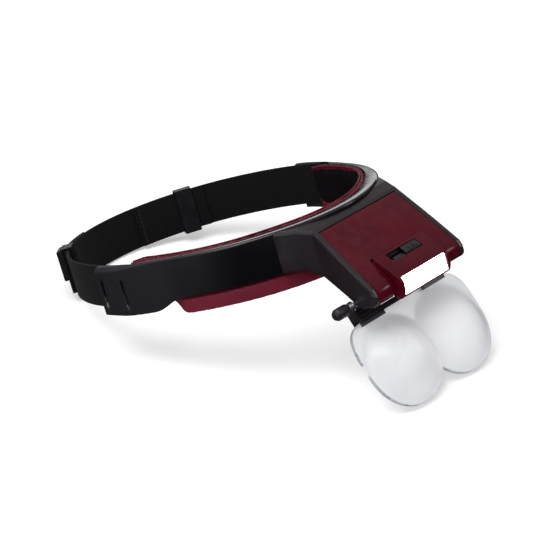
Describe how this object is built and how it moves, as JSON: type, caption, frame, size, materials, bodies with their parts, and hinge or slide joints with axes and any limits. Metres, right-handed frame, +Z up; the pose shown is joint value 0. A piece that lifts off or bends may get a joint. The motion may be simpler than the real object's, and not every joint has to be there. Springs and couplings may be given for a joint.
{
  "type": "head visor magnifier",
  "caption": "Headband visor with a padded brow band, adjustable rear strap, sloping hood with an LED lamp, and a swinging clear twin-lobe magnifying lens.",
  "frame": {"origin": "middle of the bounding box at table level, with the part lying on its lens lobes and the rear of its strap", "axes": "+Z up off the table, -Y towards the hood and lens (the wearer's front), +X towards the wearer's left"},
  "size_m": [0.1836, 0.2636, 0.0905],
  "materials": {
    "gloss_black": "high gloss moulded black",
    "satin_black": "satin moulded black",
    "burgundy": "semi-gloss burgundy",
    "pad": "soft burgundy leatherette over foam",
    "webbing": "black woven elastic webbing",
    "lens": "polished clear acrylic",
    "window": "clear lamp window",
    "chrome": "vacuum-metallised reflector",
    "led": "clear white LED",
    "steel": "zinc-plated steel",
    "nickel": "nickel-plated contacts",
    "cell": "plain printed sleeve",
    "board": "green solder mask"
  },
  "bodies": {
    "headband": {"brow_band": "gloss_black", "hood_frame": "gloss_black", "forehead_pad": "pad", "rear_strap": "webbing", "strap_tail_left": "webbing", "strap_tail_right": "webbing", "battery_rear": "cell", "battery_front": "cell", "battery_spring_rear": "nickel", "battery_spring_front": "nickel", "contact_plate_left": "nickel", "contact_plate_right": "nickel", "hood_screw_left": "steel", "hood_screw_right": "steel"},
    "cover": {"battery_cover": "burgundy"},
    "lamp": {"lamp_shell": "burgundy", "lamp_window": "window", "lamp_reflector": "chrome", "led_left": "led", "led_right": "led", "circuit_board": "board", "switch_body": "satin_black", "lamp_pin_left": "steel", "lamp_pin_right": "steel"},
    "switch": {"switch_knob": "satin_black"},
    "holder": {"lens_holder": "satin_black", "hinge_shaft": "steel", "tilt_knob": "satin_black", "spring_washer": "steel", "shaft_nut": "steel"},
    "lens": {"lens_plate": "lens"},
    "slider_left": {"strap_slider_left": "satin_black"},
    "slider_right": {"strap_slider_right": "satin_black"}
  },
  "joints": [
    {"name": "cover_lift", "type": "slide", "parent": "headband", "child": "cover", "axis": [0, -0.4429, 0.8966], "range_m": [0, 0.02]},
    {"name": "lamp_tilt", "type": "hinge", "parent": "headband", "child": "lamp", "pos_m": [0, -0.1, 0.06349], "axis": [1, 0, 0], "range_deg": [0, 15]},
    {"name": "switch_slide", "type": "slide", "parent": "lamp", "child": "switch", "axis": [-1, 0, 0], "range_m": [0, 0.006]},
    {"name": "lens_flip", "type": "hinge", "parent": "headband", "child": "holder", "pos_m": [0, -0.09288, 0.05513], "axis": [-1, 0, 0], "range_deg": [-5, 40]},
    {"name": "lens_release", "type": "slide", "parent": "holder", "child": "lens", "axis": [0, -0.6758, -0.7371], "range_m": [0, 0.012]},
    {"name": "slider_left_travel", "type": "hinge", "parent": "headband", "child": "slider_left", "pos_m": [-0.00464, 0.04595, 0.04094], "axis": [0, 0.334, 0.9426], "range_deg": [-8, 8]},
    {"name": "slider_right_travel", "type": "hinge", "parent": "headband", "child": "slider_right", "pos_m": [0.00464, 0.04595, 0.04094], "axis": [0, 0.334, 0.9426], "range_deg": [-8, 8]}
  ]
}
